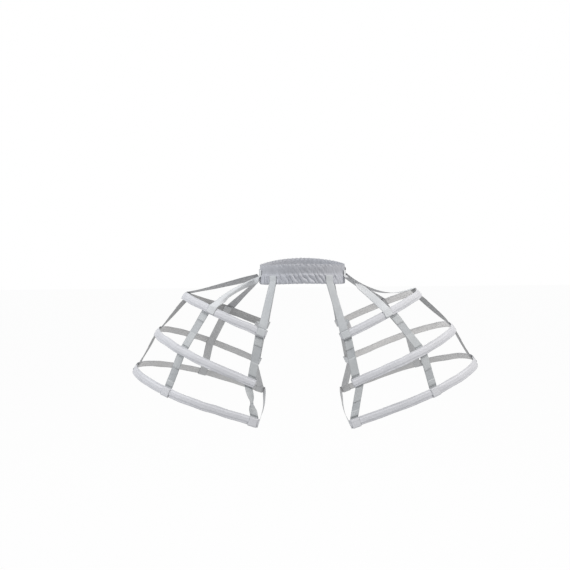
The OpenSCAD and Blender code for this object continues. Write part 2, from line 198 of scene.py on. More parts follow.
# Seeds: the first of each kind of piece, and the steps between sides and between pieces
CASING_SEED, TIE_SEED, STRAP_SEED, TAPE_SEED = 1, 7, 300, 500
SIDE_SEEDS, PIECE_SEEDS = 100, 10

# Sockets of a colour mix node
MIX_SHARE, MIX_A, MIX_B, MIX_OUT = 0, 6, 7, 2

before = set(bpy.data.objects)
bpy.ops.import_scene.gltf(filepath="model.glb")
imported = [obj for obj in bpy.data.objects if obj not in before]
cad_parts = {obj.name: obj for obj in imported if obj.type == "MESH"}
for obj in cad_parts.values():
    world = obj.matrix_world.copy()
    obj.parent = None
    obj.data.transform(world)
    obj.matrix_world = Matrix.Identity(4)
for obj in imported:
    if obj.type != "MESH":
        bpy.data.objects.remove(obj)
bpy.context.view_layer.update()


def ripple(x, seed):
    """Smooth irregular wave between about -1 and 1, from a few sines out of step."""
    rng = np.random.default_rng(seed)
    rates = rng.uniform(*RIPPLE_RATES, RIPPLE_SINES)
    phases = rng.uniform(0, TURN, RIPPLE_SINES)
    return sum(np.sin(r * x + p) for r, p in zip(rates, phases)) / RIPPLE_PEAK


def smooth(x, low, high):
    """Eases from 0 at low to 1 at high."""
    k = np.clip((x - low) / (high - low), 0, 1)
    return k * k * (3 - 2 * k)


def hump(x, rise, fall):
    """Eases up to 1 over the first range and back to 0 over the second."""
    return smooth(x, *rise) * (1 - smooth(x, *fall))


def bell(x, width, power=2):
    """1 at 0, dying out past the width; a higher power gives steeper sides."""
    return np.exp(-((x / width) ** power))


class Hoop:
    """A straight run, a wide arc and a tight nose arc, mirrored front to back in a tilted plane."""

    def __init__(self, depth, reach, run, nose, tilt, inner, drop, tie_bow, droop, upright):
        self.half_depth, self.run, self.nose = depth / 2, run, nose
        self.inner, self.drop, self.tie_bow, self.droop = inner, drop, tie_bow, droop
        self.tilt = math.radians(tilt)
        self.back_lean = BACK_LEAN - math.radians(upright)
        self.nose_u = reach - nose
        cap = reach - run
        self.wide_r = (self.half_depth**2 + (cap - nose) ** 2 - nose**2) / (2 * (self.half_depth - nose))
        self.wide_angle = math.asin((cap - nose) / (self.wide_r - nose))
        self.bend = run + self.wide_r * self.wide_angle
        self.half = self.bend + nose * (math.pi / 2 - self.wide_angle)
        self.up = np.array([-math.sin(self.tilt), 0, math.cos(self.tilt)])

    def line(self, s):
        """Place and heading in the hoop's plane at a distance s from its front end."""
        s = np.asarray(s, float)
        d = np.where(s <= self.half, s, 2 * self.half - s)
        wide = (d - self.run) / self.wide_r
        wide_u = self.run + self.wide_r * np.sin(wide)
        wide_v = self.wide_r * (1 - np.cos(wide)) - self.half_depth
        tight = self.wide_angle + (d - self.bend) / self.nose
        tight_u = self.nose_u + self.nose * np.sin(tight)
        tight_v = -self.nose * np.cos(tight)
        straight, on_wide = d < self.run, d < self.bend
        u = np.where(straight, d, np.where(on_wide, wide_u, tight_u))
        v = np.where(straight, -self.half_depth, np.where(on_wide, wide_v, tight_v))
        a = np.where(straight, 0, np.where(on_wide, wide, tight))
        back = s > self.half
        return u, np.where(back, -v, v), np.where(back, math.pi - a, a)

    def place(self, u, v, up=0):
        """Point of the tilted plane, lifted along its normal; the back of the hoop may hang lower."""
        u, v, up = np.broadcast_arrays(np.asarray(u, float), v, up)
        low = self.drop + self.droop * smooth(v, -DROOP_OVER, DROOP_OVER)
        flat = np.stack([self.inner + u * math.cos(self.tilt), v, u * math.sin(self.tilt) - low], -1)
        return flat + up[..., None] * self.up

    def out(self, s):
        """Direction out of the hoop, in its plane."""
        a = self.line(s)[2]
        return np.stack([np.sin(a) * math.cos(self.tilt), -np.cos(a), np.sin(a) * math.sin(self.tilt)], -1)

    def axes(self, s):
        """Directions out of the casing's face and up it; its upper edge leans in with the cage's flare."""
        outward = self.out(s)
        share = smooth(np.asarray(s, float), *(k * self.half for k in LEAN_OVER))
        lean = (FRONT_LEAN + (self.back_lean - FRONT_LEAN) * share)[..., None]
        face = outward * np.cos(lean) + self.up * np.sin(lean)
        return face, self.up * np.cos(lean) - outward * np.sin(lean)

    def point(self, s, out=0, up=0):
        """Point on the casing, off its middle line."""
        s, out, up = np.broadcast_arrays(np.asarray(s, float), out, up)
        u, v, _ = self.line(s)
        face, rise = self.axes(s)
        return self.place(u, v) + out[..., None] * face + up[..., None] * rise


def bent_hoop(side, level):
    """A hoop with the sizes of its level, as it is bent on its side."""
    depth, reach, run, nose, tilt, inner, drop, tie_bow = HOOP_SIZES[level]
    longer, steeper, lift, droop, upright = BENT.get((side, level), (0, 0, 0, 0, 0))
    reach, tilt, drop = reach + longer, tilt + steeper, drop - lift
    return Hoop(depth, reach, run, nose, tilt, inner, drop, tie_bow, droop, upright)


HOOPS = {(side, level): bent_hoop(side, level) for side in SIDES for level in LEVELS}


def band_out(a):
    """Direction out of the waistband at an angle a from the front."""
    n = np.stack([np.sin(a) / WAIST_W, -np.cos(a) / WAIST_D, 0 * a], -1)
    return n / np.linalg.norm(n, axis=-1, keepdims=True)


def band_point(a, out, z):
    """Point of the waistband at an angle a from the front, off the elastic's middle line."""
    a, out, z = np.broadcast_arrays(np.asarray(a, float), out, z)
    bowed = z + BAND_BOW / 2 * np.cos(2 * a)
    oval = np.stack([WAIST_W / 2 * np.sin(a), -WAIST_D / 2 * np.cos(a), bowed], -1)
    return oval + out[..., None] * band_out(a)


# Meshes


def new_object(name, data):
    piece = bpy.data.objects.new(name, data)
    bpy.context.scene.collection.objects.link(piece)
    return piece


class Shape:
    """Gathers grids of points, in millimetres, into one mesh with a UV map in metres."""

    def __init__(self):
        self.points, self.faces, self.uvs, self.slots = [], [], [], []

    def grid(self, points, uv, slot=0, close_rows=False, close_columns=False):
        """Adds quads over points[row, column]; closed rows or columns join their last to their first."""
        rows, columns = points.shape[:2]
        base = len(self.points)
        self.points.extend(points.reshape(-1, 3))
        step = uv[-1, -1] - uv[-2, -2]
        for i in range(rows if close_rows else rows - 1):
            for j in range(columns if close_columns else columns - 1):
                i2, j2 = (i + 1) % rows, (j + 1) % columns
                cells = [(i, j), (i2, j), (i2, j2), (i, j2)]
                self.faces.append([base + r * columns + c for r, c in cells])
                self.uvs.extend(uv[r, c] + step * [r < i, c < j] for r, c in cells)
                self.slots.append(slot if np.isscalar(slot) else slot[i][j])
        return base

    def ngon(self, corners, slot):
        self.faces.append(corners)
        self.uvs.extend([(0, 0)] * len(corners))
        self.slots.append(slot)

    def tube(self, loops, uv, slot=0, end_slot=0):
        """Adds a grid that is closed round its columns, with a face over each end."""
        base = self.grid(loops, uv, slot, close_columns=True)
        rows, around = loops.shape[:2]
        self.ngon([base + j for j in range(around)], end_slot)
        self.ngon([base + (rows - 1) * around + j for j in reversed(range(around))], end_slot)

    def make(self, name, materials, node=None, slot=None):
        """Makes the piece, riding on the root body, and names the node that it replaces."""
        mesh = bpy.data.meshes.new(name)
        mesh.from_pydata([tuple(p) for p in np.array(self.points) * MM], [], self.faces)
        layer = mesh.uv_layers.new(name="cloth")
        layer.data.foreach_set("uv", np.array(self.uvs, np.float32).ravel())
        for material in materials:
            mesh.materials.append(material)
        mesh.polygons.foreach_set("material_index", self.slots)
        mesh.polygons.foreach_set("use_smooth", [True] * len(self.faces))
        mesh.update()
        piece = new_object(name, mesh)
        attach(piece, "root")
        if node:
            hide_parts(node)
        return piece


def mirror(points, side):
    return points * [1 if side == "left" else -1, 1, 1]


def normals(rows):
    """Unit normals of a grid of points, along its rows crossed with across its columns."""
    n = np.cross(np.gradient(rows, axis=0), np.gradient(rows, axis=1))
    return n / np.maximum(np.linalg.norm(n, axis=-1, keepdims=True), 1e-9)


def lengths(rows):
    """Distance along the middle of a ribbon at each of its rows."""
    middle = rows[:, rows.shape[1] // 2]
    return np.concatenate([[0], np.cumsum(np.linalg.norm(np.diff(middle, axis=0), axis=1))])


def rows_at(rows, at, steps):
    """Rows of a ribbon at other distances along it, between those it has."""
    values = rows.reshape(len(rows), -1).T
    return np.stack([np.interp(steps, at, value) for value in values], -1).reshape(-1, *rows.shape[1:])


def ribbon_shell(shape, rows, thick, face_slot, back_slot, hem_row=None, hem_slot=None):
    """Adds a closed ribbon of the given thickness about a grid of points; its face is along the normals.

    From hem_row on, the ribbon is turned over and its back has a slot of its own.
    """
    n = normals(rows) * thick / 2
    count, columns = rows.shape[:2]
    along = lengths(rows)[:, None] * np.ones(columns)
    across = np.linspace(0, RIBBON_W, columns) * np.ones((count, 1))
    uv = np.stack([along, across], -1) * MM
    loops = np.concatenate([rows + n, (rows - n)[:, ::-1]], axis=1)
    loop_uv = np.concatenate([uv, uv[:, ::-1]], axis=1)
    backs = [hem_slot if hem_row and i >= hem_row else back_slot for i in range(count)]
    slots = [[face_slot] * columns + [back] * columns for back in backs]
    shape.tube(loops, loop_uv, slots, face_slot)


# Materials


class Nodes:
    """Short names for building the node tree of a material or of the world."""

    def __init__(self, owner):
        owner.use_nodes = True
        self.owner, self.tree = owner, owner.node_tree
        self.shader = self.tree.nodes.get("Principled BSDF") or self.tree.nodes["Background"]

    def add(self, kind, inputs=(), **settings):
        """Adds a node; an input is another node's output to link or a plain value."""
        node = self.tree.nodes.new(kind)
        for key, value in settings.items():
            setattr(node, key, value)
        for socket, source in dict(inputs).items():
            if isinstance(source, bpy.types.NodeSocket):
                self.tree.links.new(source, node.inputs[socket])
            else:
                node.inputs[socket].default_value = source
        return node

    def link(self, source, socket):
        self.tree.links.new(source, self.shader.inputs[socket])

    def set(self, **values):
        """Sets the shader's plain values; an underscore stands for a space."""
        for key, value in values.items():
            self.shader.inputs[key.replace("_", " ")].default_value = value

    def uv(self):
        return self.add("ShaderNodeUVMap", uv_map="cloth").outputs["UV"]

    def place(self):
        return self.add("ShaderNodeTexCoord").outputs["Object"]

    def noise(self, vector, scale, detail=2):
        inputs = {"Vector": vector, "Scale": scale, "Detail": detail}
        return self.add("ShaderNodeTexNoise", inputs).outputs["Fac"]

    def ribs(self, vector, scale, distortion, direction):
        inputs = {"Vector": vector, "Scale": scale, "Distortion": distortion}
        return self.add("ShaderNodeTexWave", inputs, bands_direction=direction).outputs["Fac"]

    def stretch(self, vector, along, across):
        inputs = {"Vector": vector, "Scale": (along, across, 1)}
        return self.add("ShaderNodeMapping", inputs).outputs["Vector"]

    def part(self, vector, axis):
        return self.add("ShaderNodeSeparateXYZ", {"Vector": vector}).outputs[axis]

    def math(self, operation, a, b):
        return self.add("ShaderNodeMath", {0: a, 1: b}, operation=operation).outputs[0]

    def span(self, value, low, high, start=0.3, stop=0.7):
        """Maps values from start to stop, where most of a noise lies, to low and high."""
        inputs = {"Value": value, "From Min": start, "From Max": stop, "To Min": low, "To Max": high}
        return self.add("ShaderNodeMapRange", inputs).outputs["Result"]

    def tint(self, colour, factor):
        """The colour times a grey factor."""
        grey = self.add("ShaderNodeCombineColor", {"Red": factor, "Green": factor, "Blue": factor})
        inputs = {MIX_SHARE: 1, MIX_A: (*colour, 1), MIX_B: grey.outputs["Color"]}
        return self.add("ShaderNodeMix", inputs, data_type="RGBA", blend_type="MULTIPLY").outputs[MIX_OUT]

    def bump(self, height, distance, strength=1, under=None):
        node = self.add("ShaderNodeBump", {"Height": height, "Distance": distance, "Strength": strength})
        if under is not None:
            self.tree.links.new(under, node.inputs["Normal"])
        return node.outputs["Normal"]


def material_nodes(name):
    return Nodes(bpy.data.materials.new(name))


def satin(name, colour, width=RIBBON_W, rough=0.46, crumple=0.5):
    """Satin ribbon: warp floats along it, fine weft ribs across it, woven edges and soft creases."""
    n = material_nodes(name)
    uv, place = n.uv(), n.place()
    floats = n.noise(n.stretch(uv, along=60, across=2600), scale=1, detail=3)
    mottle = n.noise(place, scale=38, detail=3)
    soft = n.noise(place, scale=11, detail=1)
    weft = n.ribs(uv, scale=560, distortion=1.5, direction="X")
    across = n.part(uv, "Y")
    from_edge = n.math("MINIMUM", across, n.math("SUBTRACT", width * MM, across))
    edge = n.span(from_edge, 0.9, 1.0, start=0.4 * MM, stop=1.6 * MM)
    tone = n.math("MULTIPLY", n.span(floats, 0.975, 1.015), n.span(mottle, 0.965, 1.025))
    tone = n.math("MULTIPLY", n.math("MULTIPLY", tone, n.span(soft, 0.97, 1.02)), edge)
    n.link(n.tint(colour, tone), "Base Color")
    n.link(n.span(mottle, rough - 0.05, rough + 0.06), "Roughness")
    folds = n.bump(n.noise(place, scale=75), crumple * MM)
    weave = n.math("ADD", weft, floats)
    n.link(n.bump(weave, 0.08 * MM, strength=0.6, under=folds), "Normal")
    n.set(Sheen_Weight=0.12, Sheen_Roughness=0.45, Specular_IOR_Level=0.42)
    return n.owner


def band_cloth():
    """Light satin weave, crushed by the gathers, with painted shade greying it above the band's middle and
    painted light brightening it below.
    """
    n = material_nodes("band_cloth")
    uv, place = n.uv(), n.place()
    mottle = n.noise(place, scale=45, detail=3)
    fibres = n.noise(n.stretch(uv, along=1500, across=300), scale=1, detail=3)
    weft = n.ribs(uv, scale=520, distortion=2, direction="Y")
    # Painted light below the band's middle and painted shade above it: the tone falls from 1.1 to 0.88 with
    # height.
    pressed = n.span(n.part(place, "Z"), 1.1, 0.88, start=-8 * MM, stop=8 * MM)
    tone = n.math("MULTIPLY", n.span(mottle, 0.94, 1.03), n.span(fibres, 0.97, 1.02))
    n.link(n.tint((0.5, 0.51, 0.55), n.math("MULTIPLY", tone, pressed)), "Base Color")
    n.link(n.span(mottle, 0.36, 0.48), "Roughness")
    creases = n.bump(n.noise(place, scale=160, detail=3), 0.7 * MM)
    weave = n.math("ADD", weft, fibres)
    n.link(n.bump(weave, 0.09 * MM, strength=0.6, under=creases), "Normal")
    n.set(Sheen_Weight=0.12, Specular_IOR_Level=0.4)
    return n.owner


def thread():
    """Twisted sewing thread."""
    n = material_nodes("sewing_thread")
    fibre = n.noise(n.place(), scale=1800)
    n.link(n.tint((0.62, 0.62, 0.66), n.span(fibre, 0.9, 1.05)), "Base Color")
    n.link(n.bump(fibre, 0.1 * MM), "Normal")
    n.set(Roughness=0.6)
    return n.owner


def boning_plastic():
    """Drawn plastic strip: faint uneven streaks in a milky white."""
    n = material_nodes("boning_plastic")
    streaks = n.noise(n.stretch(n.place(), along=30, across=30), scale=20, detail=3)
    n.link(n.tint((0.8, 0.8, 0.77), n.span(streaks, 0.96, 1.02)), "Base Color")
    n.link(n.span(streaks, 0.32, 0.44), "Roughness")
    n.link(n.bump(streaks, 0.1 * MM, strength=0.5), "Normal")
    n.set(Subsurface_Weight=0.1, Subsurface_Radius=(2 * MM, 2 * MM, 2 * MM))
    return n.owner


def elastic_webbing():
    """Woven elastic: close ribs round it with a fine cross weave."""
    n = material_nodes("elastic_webbing")
    place = n.place()
    ribs = n.ribs(place, scale=260, distortion=0.6, direction="Z")
    yarn = n.noise(place, scale=900)
    n.link(n.tint((0.74, 0.74, 0.75), n.span(n.math("MULTIPLY", ribs, yarn), 0.9, 1.03)), "Base Color")
    n.link(n.bump(n.math("ADD", ribs, yarn), 0.2 * MM), "Normal")
    n.set(Roughness=0.7)
    return n.owner


CASING = satin("casing_satin", (0.65, 0.655, 0.685), CASING_W, crumple=0.7)
CASING_BACK = satin("casing_reverse", (0.6, 0.598, 0.595), CASING_W, rough=0.56, crumple=0.7)
# Darker and lighter copies of the casing's reverse for single hoops: painted shade on the right top hoop,
# painted light on the left top and middle ones.
CASING_BACK_PAINTED_SHADE = satin("casing_reverse_painted_shade", (0.4, 0.4, 0.4), CASING_W, rough=0.56, crumple=0.7)
CASING_BACK_PAINTED_LIGHT = satin("casing_reverse_painted_light", (0.82, 0.81, 0.8), CASING_W, rough=0.56, crumple=0.7)
PAINTED_CASING_BACKS = {
    ("right", "top"): CASING_BACK_PAINTED_SHADE,
    ("left", "top"): CASING_BACK_PAINTED_LIGHT,
    ("left", "mid"): CASING_BACK_PAINTED_LIGHT,
}
STRAP = satin("strap_satin", (0.58, 0.6, 0.616))
# A lighter copy of the strap satin for the front side straps: painted light on their faces.
STRAP_PAINTED_LIGHT = satin("strap_satin_painted_light", (0.66, 0.675, 0.69))
STRAP_BACK = satin("strap_reverse", (0.47, 0.475, 0.485), rough=0.56)
# Inside the hoops the tape's face, reverse and doubled plies are darker than its turned hem on the bottom
# hoop's outside: painted shade.
TAPE = satin("tape_satin_painted_shade", (0.428, 0.446, 0.46), rough=0.48)
TAPE_BACK = satin("tape_reverse", (0.54, 0.545, 0.55), rough=0.56)
# The side tapes' reverse is a dark copy of the tape's reverse: painted shade.
SIDE_TAPE_BACK_PAINTED_SHADE = satin("side_tape_reverse_painted_shade", (0.36, 0.363, 0.367), rough=0.56)
TAPE_PLY = satin("tape_doubled_painted_shade", (0.485, 0.503, 0.513), crumple=0.4)
TAPE_HEM = satin("tape_hem", (0.64, 0.645, 0.67), crumple=0.4)
PLASTIC = boning_plastic()
BAND = band_cloth()
THREAD = thread()


# Stitching


class Stitches:
    """Rows of short raised stitches, kept together as one piece."""

    def __init__(self):
        self.shape = Shape()

    def one(self, middle, along, normal):
        """A stitch is a low bar that dips into the cloth at both ends."""
        across = np.cross(normal, along)
        rows = []
        for k in (-1, 0, 1):
            wide = STITCH_WIDE / 2 * (1 - abs(k) * STITCH_TAPER)
            high = -STITCH_SUNK if k else STITCH_HIGH
            section = ((-wide, -STITCH_SUNK), (0, high), (wide, -STITCH_SUNK))
            rows.append([middle + k * STITCH_LONG / 2 * along + x * across + y * normal for x, y in section])
        self.shape.grid(np.array(rows), np.zeros((3, 3, 2)))

    def row(self, points, normal):
        """Stitches along a polyline, with a normal at each of its points."""
        steps = np.linalg.norm(np.diff(points, axis=0), axis=1)
        at = np.concatenate([[0], np.cumsum(steps)])
        for d in np.arange(STITCH_PITCH / 2, at[-1], STITCH_PITCH):
            i = min(np.searchsorted(at, d) - 1, len(steps) - 1)
            along = (points[i + 1] - points[i]) / steps[i]
            self.one(points[i] + along * (d - at[i]), along, normal[i])


# Casings and boning


def casing_half(y, boning_y=0):
    """Half the casing's thickness at a height y: flat sewn edges and a channel swollen by the boning."""
    swell = 1 - smooth(np.abs(y - boning_y), BONING_W / 2 - SWELL_WITHIN, CHANNEL)
    edge_half = EDGE_T / 2 - EDGE_PRESSED
    return edge_half + (BULGE - edge_half) * swell


def boning_off(s, seed):
    """How far the boning lies above the middle of its casing."""
    return BONING_STRAY * ripple(s / BONING_STRAY_LONG, seed + 5)


def casing_off(s, seed):
    """How far the casing lies above the hoop's line."""
    return CASING_STRAY * ripple(s / CASING_STRAY_LONG, seed + 3)


def boning(side, level, seed):
    """Plastic strip with rounded edges, in the channel of its casing."""
    h = HOOPS[side, level]
    s = np.linspace(BONING_STOP, 2 * h.half - BONING_STOP, round(2 * h.half / HOOP_STEP) + 1)[:, None]
    turn = np.linspace(0, TURN, BONING_COLUMNS, endpoint=False)
    y = BONING_W / 2 * np.sign(np.cos(turn)) * np.sqrt(np.abs(np.cos(turn)))
    out = BONING_T / 2 * np.sign(np.sin(turn)) * np.sqrt(np.abs(np.sin(turn)))
    loops = mirror(h.point(s, out, y + boning_off(s, seed) + casing_off(s, seed)), side)
    if side == "right":
        loops = loops[:, ::-1]
    along, girth = np.broadcast_arrays(s, np.linspace(0, 2 * BONING_W, BONING_COLUMNS))
    shape = Shape()
    shape.tube(loops, np.stack([along, girth], -1) * MM)
    name = f"{side}_{level}_boning"
    shape.make(f"{name}_strip", [PLASTIC], name, "boning")


def casing(side, level, seed, stitches):
    """Two ribbons sewn edge to edge round the boning, puckered at the seams and creased inside."""
    h = HOOPS[side, level]
    s = np.linspace(0, 2 * h.half, round(2 * h.half / HOOP_STEP) + 1)
    channel, edge_row = np.linspace(-CHANNEL, CHANNEL, CHANNEL_COLUMNS), CHANNEL + EDGE_ROW_PAST
    y = np.concatenate([[-CASING_W / 2, -edge_row], channel, [edge_row, CASING_W / 2]])
    grid_s, grid_y = s[:, None] * np.ones(len(y)), y * np.ones((len(s), 1))
    seam = bell(np.abs(grid_y) - CHANNEL, SEAM_W)
    edge = smooth(np.abs(grid_y), CHANNEL, CASING_W / 2)
    on_nose = (grid_s > h.bend) & (grid_s < 2 * h.half - h.bend)
    tight = smooth(1 / np.where(on_nose, h.nose, h.wide_r), *CREASING)
    half = casing_half(grid_y, boning_off(grid_s, seed))
    pucker = PUCKER * seam * ripple(grid_s / PUCKER_LONG + np.sign(grid_y) * PUCKER_SHIFT, seed)
    wave = EDGE_WAVE * edge * ripple(grid_s / EDGE_WAVE_LONG + np.sign(grid_y), seed + 1)
    crease = ripple(grid_s / CREASE_LONG + grid_y / CREASE_WIDE, seed + 2)
    crease = (CREASE + NOSE_CREASE * tight) * crease * (1 - edge)
    up = grid_y + EDGE_RISE * edge * ripple(grid_s / EDGE_RISE_LONG, seed + 4) + casing_off(grid_s, seed)
    outer = h.point(grid_s, half + pucker + wave, up)
    inner = h.point(grid_s, wave - INNER_BULGE * half - pucker - np.maximum(crease, CREASE_LEAST), up)
    loops = mirror(np.concatenate([outer, inner[:, ::-1]], axis=1), side)
    uv = np.stack([grid_s, grid_y + CASING_W / 2], -1) * MM
    loop_uv = np.concatenate([uv, uv[:, ::-1]], axis=1)
    slots = [[0] * len(y) + [1] * len(y)] * len(s)
    if side == "left":
        loops, loop_uv = loops[:, ::-1], loop_uv[:, ::-1]
        slots = [[1] * (len(y) - 1) + [0] * (len(y) + 1)] * len(s)
    shape = Shape()
    shape.tube(loops, loop_uv, slots)
    name = f"{side}_{level}_casing"
    # The right top hoop takes a reverse with painted shade, the left top and middle ones a reverse with
    # painted light.
    back = PAINTED_CASING_BACKS.get((side, level), CASING_BACK)
    piece = shape.make(f"{name}_cloth", [CASING, back], name, "casing_ribbon")
    for face in (1, -1):
        for line_y in (-CHANNEL - STITCHES_PAST, CHANNEL + STITCHES_PAST):
            line = h.point(s, face * (casing_half(line_y) + STITCH_LIFT), line_y)
            away = face * h.axes(s)[0]
            stitches.row(mirror(line, side), mirror(away, side))


# Ties, straps and tapes


def tie(side, level, seed):
    """Ribbon across the body side, flat on the two casing ends and bowed between them."""
    h = HOOPS[side, level]
    span = h.half_depth + BULGE
    k = np.linspace(-1, 1, round(2 * span / RIBBON_STEP) + 1)[:, None]
    free = 1 - smooth(np.abs(k), TIE_HELD, 1)
    sag = TIE_SAG * ripple(k * TIE_WAVES + COLUMNS / TIE_WAVE_WIDE, seed) * free
    u = h.tie_bow * (1 - k * k) - RIBBON_T / 2 - SEWN_GAP + sag
    lean = np.where(k < 0, math.sin(FRONT_LEAN), -math.sin(h.back_lean)) * np.abs(k) ** TIE_LEAN_POWER
    rows = mirror(h.place(u, k * span + lean * COLUMNS, COLUMNS), side)
    if side == "left":
        rows = rows[:, ::-1]
    shape = Shape()
    ribbon_shell(shape, rows, RIBBON_T, 0, 1)
    name = f"{side}_{level}_tie"
    piece = shape.make(f"{name}_ribbon", [STRAP, STRAP_BACK], name, "satin_ribbon")


def seat(h, s, face, up):
    """Row of a ribbon on the casing's outside (face 1) or inside (face -1), following its bend."""
    return h.point(s + COLUMNS, face * LAY, up)


def rolled(h, s, edge, out, up):
    """Row of a ribbon turned round the casing's upper (1) or lower (-1) edge."""
    return h.point(s + COLUMNS, LAY * out, edge * EDGE_UP + LAY * up)


def between(a, b, sag=0):
    """Rows of a ribbon from row a to row b, taut or sagging."""
    steps = max(2, round(np.linalg.norm(b[MIDDLE] - a[MIDDLE]) / RIBBON_STEP))
    shares = np.arange(1, steps) / steps
    return [a + (b - a) * k - [0, 0, 4 * sag * k * (1 - k)] for k in shares]


def twisted(rows, start, stop, angles):
    """Turns the rows from start to stop about the ribbon's middle line."""
    n = normals(rows)[start:stop, MIDDLE:MIDDLE + 1]
    centre = rows[start:stop, MIDDLE:MIDDLE + 1]
    arms = rows[start:stop] - centre
    across = arms[:, -1:] / np.linalg.norm(arms[:, -1:], axis=-1, keepdims=True)
    reach = np.sum(arms * across, axis=-1, keepdims=True)
    turn = angles[:, None, None]
    made = rows.copy()
    made[start:stop] = centre + arms * np.cos(turn) + reach * n * np.sin(turn)
    return made


def creased(rows, start, stop, angles):
    """Folds the front part of a strap down along a crease that runs slantwise to its front edge."""
    n = normals(rows)[start:stop]
    across = np.gradient(rows[start:stop], axis=1)
    across /= np.linalg.norm(across, axis=-1, keepdims=True)
    crease = np.linspace(CREASE_FROM, CREASE_TO, stop - start)[:, None]
    bend = angles[:, None] * smooth(crease - COLUMNS, 0, CREASE_ROUND)
    step = np.gradient(COLUMNS)[:, None]
    way = across * np.cos(bend)[..., None] + n * np.sin(bend)[..., None]
    path = np.cumsum((way * step)[:, ::-1], axis=1)[:, ::-1]
    made = rows.copy()
    made[start:stop] = rows[start:stop, -1:] - path + path[:, -1:]
    return made


def slack(rows, spans, seed, lift, curl):
    """Lets the free spans of a ribbon, given by their rows, wave along the normals, curl and sway."""
    free = np.zeros(len(rows))
    for start, stop in spans:
        free[start:stop] = 1
    n, at = normals(rows), lengths(rows)[:, None]
    x = COLUMNS / (RIBBON_W / 2)
    wave = lift * ripple(at / WAVE_LONG + x * WAVE_SKEW, seed)
    cup = curl * (x * x - CURL_LEVEL) * ripple(at / CURL_LONG, seed + 1)
    sway = SWAY * x * ripple(at / SWAY_LONG, seed + 2)
    return rows + n * ((wave + cup + sway) * fade(free)[:, None])[..., None]


def fade(free):
    """Eases a mask of free rows in and out over a few rows."""
    kernel = np.array([1, 2, 3, 2, 1]) / 9
    eased = np.convolve(np.concatenate([[free[0]] * 2, free, [free[-1]] * 2]), kernel, "valid")
    return eased * free


def on_side(rows, row, outward, side):
    """Puts a ribbon made for the left on its side, with its face outward at the given row."""
    if normals(rows)[row, MIDDLE] @ outward < 0:
        rows = rows[:, ::-1]
    rows = mirror(rows, side)
    return rows[:, ::-1] if side == "right" else rows


def along_hoop(side, level, place, share):
    """Distance of a strap or tape along a hoop; the share is for those next to the sides."""
    half = HOOPS[side, level].half
    return {
        "front": END_INSET,
        "front_side": half * share,
        "side": half + SIDE_BACK[level],
        "back_side": half * (2 - share),
        "back": 2 * half - END_INSET,
    }[place]


def strap_seat(side, place):
    """Angle round the waist where a strap is sewn, and the depth of its fold below the band's middle."""
    at, fold_z = STRAPS[place]
    at += STRAP_BACKWARD.get((side, place), 0)
    return math.radians(at), fold_z + STRAP_LOWER.get((side, place), 0)


def strap(side, place, seed, stitches):
    """Sewn on the band, folded away from it, over the top hoop's upper edge and down its face."""
    h = HOOPS[side, "top"]
    s = along_hoop(side, "top", place, STRAP_SHARE[side].get(place, 0))
    a, fold_z = strap_seat(side, place)
    angles = a + COLUMNS / math.hypot(WAIST_W / 2 * math.cos(a), WAIST_D / 2 * math.sin(a))
    rise = BAND_FACE + SEWN_GAP + RIBBON_T / 2
    outward, up = band_out(np.array(a)), np.array([0, 0, 1])
    foot = band_point(angles, rise, -fold_z)
    goal = h.point(s, 0, EDGE_UP)
    sag = STRAP_SAG.get((side, place), 0)
    dip = np.array([0, 0, 4 * sag])
    way = goal - foot[MIDDLE] - dip
    turn = min(FOLD_MOST, math.atan2(way @ outward, -way[2]))
    tab_z = np.linspace(STRAP_SEWN - fold_z, -fold_z, TAB_ROWS)[:-1]
    tab = [band_point(angles, rise, z) for z in tab_z]
    bends = [(1 - math.cos(k)) * outward - math.sin(k) * up for k in np.linspace(0, turn, FOLD_ROWS)]
    fold = [foot + STRAP_FOLD * bend for bend in bends]
    ramp = goal - fold[-1][MIDDLE] + dip
    face, lift = h.axes(s)
    lean = max(0, min(math.pi / 2, math.atan2(-(ramp @ lift), ramp @ face)))
    roll = [rolled(h, s, 1, math.sin(k), math.cos(k)) for k in np.linspace(lean, math.pi / 2, ROLL_ROWS)]
    hem_z = np.linspace(EDGE_UP - FLAT_END, HEM_INSET - CASING_W / 2, HEM_ROWS)
    hem = [seat(h, s, 1, z) for z in hem_z]
    span = between(fold[-1], roll[0], sag)
    rows = np.array(tab + fold + span + roll + hem)
    start = len(tab) + len(fold)
    stop = start + len(span)
    k = np.linspace(0, 1, len(span))
    if place == "side":
        early = start - SIDE_TWIST_EARLY
        k = np.linspace(0, 1, stop - early)
        rows = twisted(rows, early, stop, -SIDE_STRAP_TWIST[side] * hump(k, *SIDE_TWIST_OVER))
    elif (side, place) == TURNED_STRAP:
        turned = STRAP_RETURN * hump(k, *RETURN_OVER) - STRAP_TURN * hump(k, *TURN_OVER)
        rows = twisted(rows, start, stop, turned)
    elif (side, place) == CREASED_STRAP:
        rows = creased(rows, start, stop, CREASE_ANGLE * hump(k, *CREASE_OVER))
    rows = slack(rows, [(start, stop)], seed, STRAP_WAVE, STRAP_CURL)
    rows = on_side(rows, 0, outward, side)
    shape = Shape()
    ribbon_shell(shape, rows, RIBBON_T, 0, 1)
    name = f"{side}_{place}_strap"
    # The front side straps take the strap satin with painted light.
    cloth = STRAP_PAINTED_LIGHT if place == "front_side" else STRAP
    piece = shape.make(f"{name}_ribbon", [cloth, STRAP_BACK], name, "satin_ribbon")
    n = normals(rows)
    for i in (1, len(tab) - 1, len(rows) - len(hem), len(rows) - 2):
        stitches.row(rows[i, 1:-1] + n[i, 1:-1] * RIBBON_T / 2, n[i, 1:-1])


